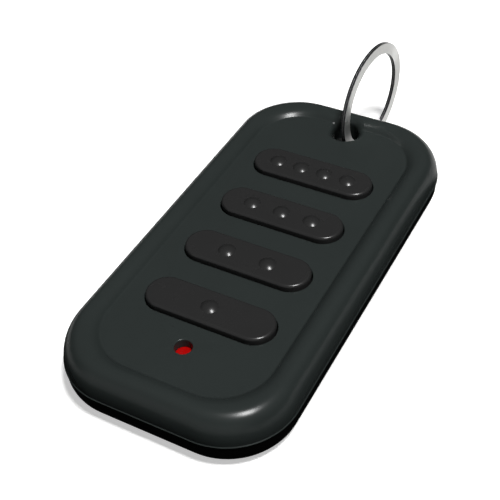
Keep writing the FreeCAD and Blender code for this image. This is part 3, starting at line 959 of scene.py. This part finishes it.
        # Mirror rays find white only low down in front. Elsewhere they find a dim room, which is lightest
        # overhead in front and darkest near the horizon. Other rays get next to no light from it
        ceiling = add_node(tree, "ShaderNodeMapRange",
                           values={"From Min": -0.5, "From Max": 0.6, "To Min": ROOM_FRONT,
                                   "To Max": ROOM_BACK},
                           links={"Value": way.outputs["Y"]})
        shelter = add_node(tree, "ShaderNodeMapRange", settings={"interpolation_type": "SMOOTHSTEP"},
                           values={"From Min": 0.25, "From Max": 0.65, "To Min": ROOM_LOW},
                           links={"Value": way.outputs["Z"]})
        room = add_node(tree, "ShaderNodeMath", settings={"operation": "MULTIPLY"},
                        links={0: ceiling.outputs["Result"], 1: shelter.outputs["Result"]})
        wall = add_node(tree, "ShaderNodeMapRange", settings={"interpolation_type": "SMOOTHSTEP"},
                        values={"From Min": 0.30, "From Max": 0.55}, links={"Value": way.outputs["Z"]})
        behind = add_node(tree, "ShaderNodeMapRange", settings={"interpolation_type": "SMOOTHSTEP"},
                          values={"From Min": -0.8, "From Max": -0.4}, links={"Value": way.outputs["Y"]})
        dim = add_node(tree, "ShaderNodeMath", settings={"operation": "MAXIMUM"},
                       links={0: wall.outputs["Result"], 1: behind.outputs["Result"]})
        mirrored = add_node(tree, "ShaderNodeMix", settings={"data_type": "FLOAT"}, values={"A": 1.0},
                            links={"Factor": dim.outputs["Value"], "B": room.outputs["Value"]})
        rays = add_node(tree, "ShaderNodeLightPath")
        mirror = add_node(tree, "ShaderNodeMath", settings={"operation": "MAXIMUM"},
                          links={0: rays.outputs["Is Glossy Ray"], 1: rays.outputs["Is Transmission Ray"]})
        level = add_node(tree, "ShaderNodeMix", settings={"data_type": "FLOAT"}, values={"A": ROOM_FILL},
                         links={"Factor": mirror.outputs["Value"], "B": mirrored.outputs["Result"]})
        level = add_node(tree, "ShaderNodeMath", settings={"operation": "MAXIMUM"},
                         links={0: level.outputs["Result"], 1: rays.outputs["Is Camera Ray"]})
        back = add_node(tree, "ShaderNodeBackground", values={"Color": (1.0, 1.0, 1.0, 1.0)},
                        links={"Strength": level.outputs["Value"]})
        add_node(tree, "ShaderNodeOutputWorld", links={"Surface": back.outputs["Background"]})

    def hang_lamp(self, stage, name, width, watts, towards):
        """A round soft light that faces the case."""
        light = bpy.data.lights.new(name, "AREA")
        light.shape = "DISK"
        light.size = width
        light.energy = watts
        lamp = bpy.data.objects.new(name, light)
        way = Vector(towards).normalized()
        lamp.location = way * stage.lamp_distance
        lamp.rotation_euler = way.to_track_quat("Z", "Y").to_euler()
        bpy.context.scene.collection.objects.link(lamp)
        return lamp

    def set_camera(self, scene, stage):
        """The camera as it was fitted to the photograph."""
        a = stage.azimuth
        e = stage.elevation
        back = Vector((math.sin(a) * math.cos(e), -math.cos(a) * math.cos(e), math.sin(e)))
        level = Vector((math.cos(a), math.sin(a), 0.0))
        upright = back.cross(level)
        right = level * math.cos(stage.roll) + upright * math.sin(stage.roll)
        up = upright * math.cos(stage.roll) - level * math.sin(stage.roll)
        data = bpy.data.cameras.new("Camera")
        data.sensor_width = 36.0
        data.lens = stage.lens
        data.clip_start = 0.01
        data.clip_end = 20.0
        camera = bpy.data.objects.new("Camera", data)
        camera.matrix_world = Matrix((right, up, back)).transposed().to_4x4()
        camera.location = Vector(stage.aim) + back * stage.distance
        bpy.context.scene.collection.objects.link(camera)
        scene.camera = camera


class TRANSMITTER_PT_panel(bpy.types.Panel):
    """Lists the sizes, the colours and the steps that build the transmitter"""

    bl_idname = "TRANSMITTER_PT_panel"
    bl_label = "Remote transmitter"
    bl_space_type = "VIEW_3D"
    bl_region_type = "UI"
    bl_category = "Transmitter"

    def draw(self, context):
        layout = self.layout
        for title, attribute, _ in GROUPS:
            group = getattr(context.scene, attribute)
            box = layout.box()
            box.label(text=title)
            for name in group.bl_rna.properties.keys():
                if name not in ("rna_type", "name"):
                    box.prop(group, name)
        for step in STEPS:
            layout.operator(step.bl_idname)


GROUPS = (
    ("Case", "transmitter_case", CaseSettings),
    ("Buttons", "transmitter_buttons", ButtonSettings),
    ("Lamp", "transmitter_lamp", LampSettings),
    ("Key ring", "transmitter_ring", RingSettings),
    ("Stage", "transmitter_stage", StageSettings),
)
STEPS = (
    TRANSMITTER_OT_upper_shell,
    TRANSMITTER_OT_lower_shell,
    TRANSMITTER_OT_buttons,
    TRANSMITTER_OT_lamp,
    TRANSMITTER_OT_key_ring,
    TRANSMITTER_OT_inner_parts,
    TRANSMITTER_OT_stage,
)


def register():
    for _, attribute, group in GROUPS:
        bpy.utils.register_class(group)
        setattr(bpy.types.Scene, attribute, PointerProperty(type=group))
    for step in STEPS:
        bpy.utils.register_class(step)
    bpy.utils.register_class(TRANSMITTER_PT_panel)


def unregister():
    bpy.utils.unregister_class(TRANSMITTER_PT_panel)
    for step in reversed(STEPS):
        bpy.utils.unregister_class(step)
    for _, attribute, group in reversed(GROUPS):
        delattr(bpy.types.Scene, attribute)
        bpy.utils.unregister_class(group)


def main():
    register()
    bpy.ops.transmitter.upper_shell()
    bpy.ops.transmitter.lower_shell()
    bpy.ops.transmitter.buttons()
    bpy.ops.transmitter.lamp()
    bpy.ops.transmitter.key_ring()
    bpy.ops.transmitter.inner_parts()
    bpy.ops.transmitter.stage()


if __name__ == "__main__":
    main()
